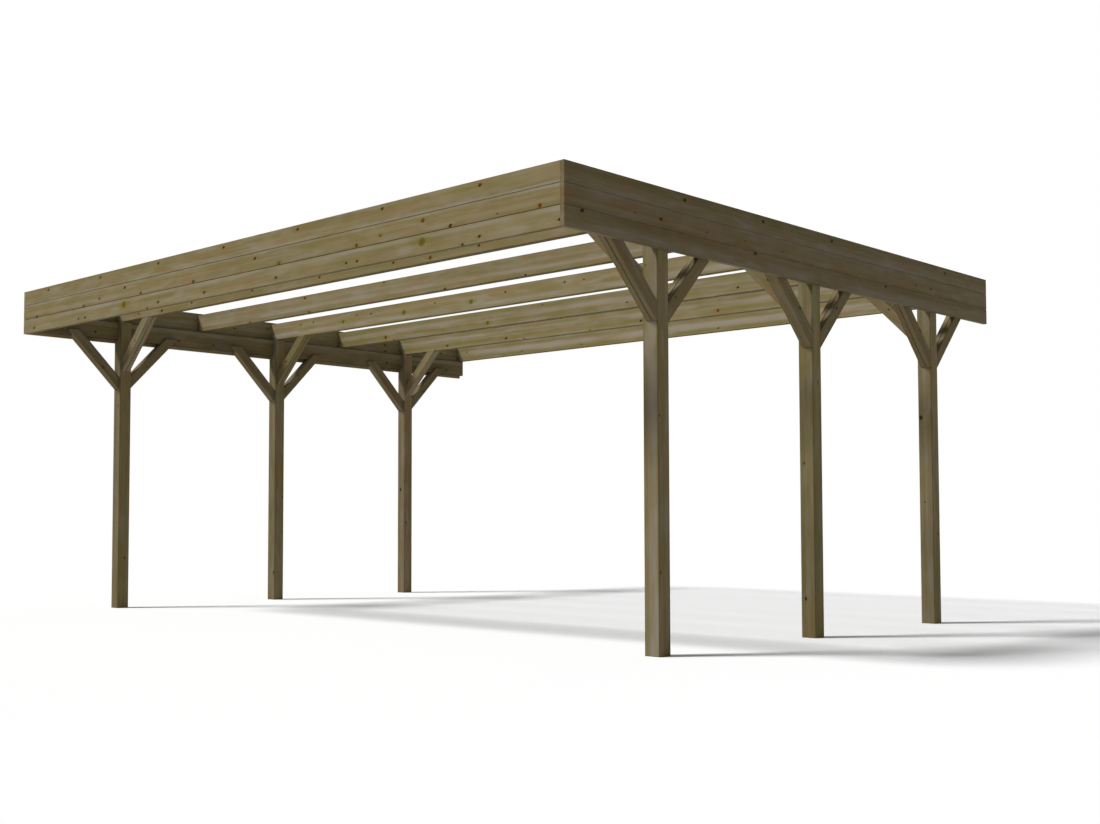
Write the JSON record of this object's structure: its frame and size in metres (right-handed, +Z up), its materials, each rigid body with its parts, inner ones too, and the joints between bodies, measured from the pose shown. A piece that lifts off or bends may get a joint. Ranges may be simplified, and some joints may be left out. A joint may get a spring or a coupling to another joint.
{
  "type": "double carport",
  "caption": "Free-standing open timber carport: square posts with diagonal braces carry side beams and cross rafters behind a boarded fascia.",
  "frame": {"origin": "on the ground, under the middle of the roof's outline", "axes": "+X to the right seen from the front, +Y to the rear, +Z up"},
  "size_m": [5.8, 4.92, 2.582],
  "materials": {
    "post_timber": "planed pressure-treated softwood",
    "beam_timber": "planed pressure-treated softwood",
    "rafter_timber": "planed pressure-treated softwood",
    "brace_timber": "planed pressure-treated softwood",
    "fascia_timber": "planed pressure-treated softwood",
    "bracket_steel": "galvanized sheet"
  },
  "bodies": {
    "root": {"left_beam": "beam_timber", "left_rafter_brackets": "bracket_steel", "left_front_post": "post_timber", "left_front_brace_forward": "brace_timber", "left_front_brace_backward": "brace_timber", "left_front_brace_inward": "brace_timber", "left_middle_post": "post_timber", "left_middle_brace_forward": "brace_timber", "left_middle_brace_backward": "brace_timber", "left_middle_brace_inward": "brace_timber", "left_rear_post": "post_timber", "left_rear_brace_forward": "brace_timber", "left_rear_brace_backward": "brace_timber", "left_rear_brace_inward": "brace_timber", "right_beam": "beam_timber", "right_rafter_brackets": "bracket_steel", "right_front_post": "post_timber", "right_front_brace_forward": "brace_timber", "right_front_brace_backward": "brace_timber", "right_front_brace_inward": "brace_timber", "right_middle_post": "post_timber", "right_middle_brace_forward": "brace_timber", "right_middle_brace_backward": "brace_timber", "right_middle_brace_inward": "brace_timber", "right_rear_post": "post_timber", "right_rear_brace_forward": "brace_timber", "right_rear_brace_backward": "brace_timber", "right_rear_brace_inward": "brace_timber", "rafter_1": "rafter_timber", "rafter_2": "rafter_timber", "rafter_3": "rafter_timber", "rafter_4": "rafter_timber", "rafter_5": "rafter_timber", "rafter_6": "rafter_timber", "rafter_7": "rafter_timber", "front_fascia_bottom_board": "fascia_timber", "front_fascia_middle_board": "fascia_timber", "front_fascia_top_board": "fascia_timber", "left_fascia_bottom_board": "fascia_timber", "left_fascia_middle_board": "fascia_timber", "left_fascia_top_board": "fascia_timber", "right_fascia_bottom_board": "fascia_timber", "right_fascia_middle_board": "fascia_timber", "right_fascia_top_board": "fascia_timber"}
  },
  "joints": []
}
